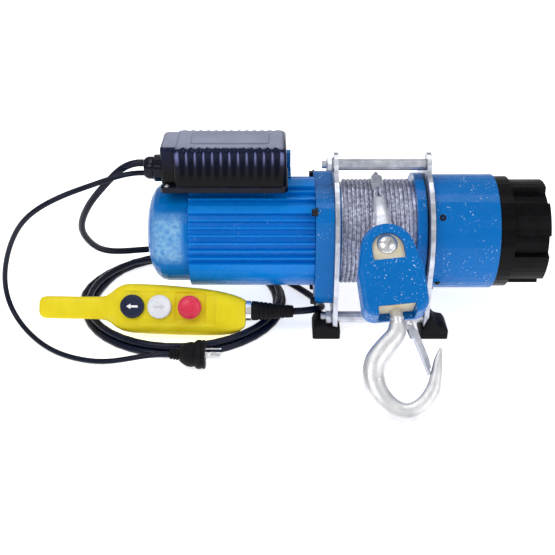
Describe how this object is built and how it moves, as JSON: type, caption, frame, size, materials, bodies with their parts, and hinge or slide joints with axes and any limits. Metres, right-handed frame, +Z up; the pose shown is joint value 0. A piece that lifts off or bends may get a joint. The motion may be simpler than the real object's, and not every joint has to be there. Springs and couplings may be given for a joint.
{
  "type": "electric wire rope hoist",
  "caption": "Portable electric hoist: finned motor, rope drum between two side plates, gearbox with brake, control box, swivel hook block and wired handset.",
  "frame": {"origin": "centre of the footprint on the floor, without the free cords", "axes": "+X along the drum axis from the motor to the gearbox, +Z up, the hook toward -Y"},
  "size_m": [0.7233, 0.4365, 0.2535],
  "materials": {
    "zinc_steel": "galvanised",
    "forged_zinc": "satin zinc",
    "blue_paint": "glossy",
    "black_plastic": "glossy",
    "black_rubber": "matte",
    "bright_steel": "machined",
    "wire_rope": "galvanised",
    "copper_winding": "enamelled",
    "laminated_iron": "laminated",
    "yellow_plastic": "satin",
    "navy_plastic": "satin",
    "white_plastic": "satin",
    "red_plastic": "satin",
    "grey_plastic": "matte"
  },
  "bodies": {
    "frame": {"left_side_plate": "zinc_steel", "right_side_plate": "zinc_steel", "top_tie_rod": "zinc_steel", "front_tie_rod": "zinc_steel", "rear_tie_rod": "zinc_steel", "rope_ferrule": "zinc_steel", "thimble": "zinc_steel", "motor_flange": "blue_paint", "motor_housing": "blue_paint", "motor_end_cover": "blue_paint", "motor_pedestal": "blue_paint", "gearbox_housing": "blue_paint", "control_box_base": "black_plastic", "control_box_cover": "black_plastic", "cable_gland": "black_plastic", "gland_nut": "black_plastic", "gearbox_cover": "black_plastic", "end_cap": "black_plastic", "left_front_foot": "black_rubber", "left_rear_foot": "black_rubber", "right_front_foot": "black_rubber", "right_rear_foot": "black_rubber", "pendant_strain_relief": "black_rubber", "pendant_cable": "black_rubber", "pendant_coil": "black_rubber", "pendant_tail": "black_rubber", "power_cord": "black_rubber", "power_plug": "black_rubber", "drive_end_bearing": "bright_steel", "rear_bearing": "bright_steel", "left_drum_bush": "bright_steel", "right_drum_bush": "bright_steel", "strain_relief_collar": "bright_steel", "rope_lead": "wire_rope", "rope_eye": "wire_rope", "motor_stator": "copper_winding", "brake_coil": "copper_winding", "pendant_front_shell": "yellow_plastic", "pendant_back_shell": "yellow_plastic", "run_capacitor": "white_plastic", "contactor": "grey_plastic", "contact_block": "grey_plastic"},
    "drum": {"rope_drum": "blue_paint", "rope_winding": "wire_rope", "drum_gear": "bright_steel"},
    "rotor": {"motor_shaft": "bright_steel", "rotor_core": "laminated_iron", "brake_disc": "laminated_iron"},
    "layshaft_a": {"first_layshaft": "bright_steel"},
    "layshaft_b": {"second_layshaft": "bright_steel"},
    "up_button": {"up_button": "navy_plastic"},
    "down_button": {"down_button": "white_plastic"},
    "stop_button": {"stop_button": "red_plastic"},
    "block": {"hook_block": "blue_paint", "block_pin": "bright_steel"},
    "swivel_hook": {"hook": "forged_zinc", "hook_nut": "bright_steel", "thrust_bearing": "bright_steel", "latch_pin": "bright_steel"},
    "latch": {"hook_latch": "zinc_steel"}
  },
  "joints": [
    {"name": "drum_spin", "type": "hinge", "parent": "frame", "child": "drum", "pos_m": [0.1203, 0.094, 0.118], "axis": [1, 0, 0], "continuous": true},
    {"name": "layshaft_b_spin", "type": "hinge", "parent": "frame", "child": "layshaft_b", "pos_m": [0.1203, 0.0765, 0.14831], "axis": [1, 0, 0], "continuous": true},
    {"name": "layshaft_a_spin", "type": "hinge", "parent": "frame", "child": "layshaft_a", "pos_m": [0.1203, 0.1115, 0.14831], "axis": [1, 0, 0], "continuous": true},
    {"name": "rotor_spin", "type": "hinge", "parent": "frame", "child": "rotor", "pos_m": [0.1203, 0.094, 0.118], "axis": [1, 0, 0], "continuous": true},
    {"name": "block_swing", "type": "hinge", "parent": "frame", "child": "block", "pos_m": [0.1178, -0.0188, 0.1471], "axis": [0, 0.6561, -0.7547], "range_deg": [-25, 25]},
    {"name": "hook_swivel", "type": "hinge", "parent": "block", "child": "swivel_hook", "pos_m": [0.1178, -0.0188, 0.1471], "axis": [-0.1045, 0.7506, 0.6525], "continuous": true},
    {"name": "latch_open", "type": "hinge", "parent": "swivel_hook", "child": "latch", "pos_m": [0.14129, -0.09358, 0.08209], "axis": [0, 0.6561, -0.7547], "range_deg": [0, 30], "stiffness_Nm_per_rad": 0.05, "springref_deg": -22.92},
    {"name": "up_button_press", "type": "slide", "parent": "frame", "child": "up_button", "axis": [0, 0.866, -0.5], "range_m": [0, 0.0035], "stiffness_N_per_m": 400, "springref_m": -0.003},
    {"name": "down_button_press", "type": "slide", "parent": "frame", "child": "down_button", "axis": [0, 0.866, -0.5], "range_m": [0, 0.0035], "stiffness_N_per_m": 400, "springref_m": -0.003},
    {"name": "stop_button_press", "type": "slide", "parent": "frame", "child": "stop_button", "axis": [0, 0.866, -0.5], "range_m": [0, 0.004], "stiffness_N_per_m": 400, "springref_m": -0.003}
  ],
  "couplings": [
    {"joint": "layshaft_b_spin", "follows": "drum_spin", "ratio": -3},
    {"joint": "layshaft_a_spin", "follows": "drum_spin", "ratio": 11},
    {"joint": "rotor_spin", "follows": "drum_spin", "ratio": -40.333}
  ]
}
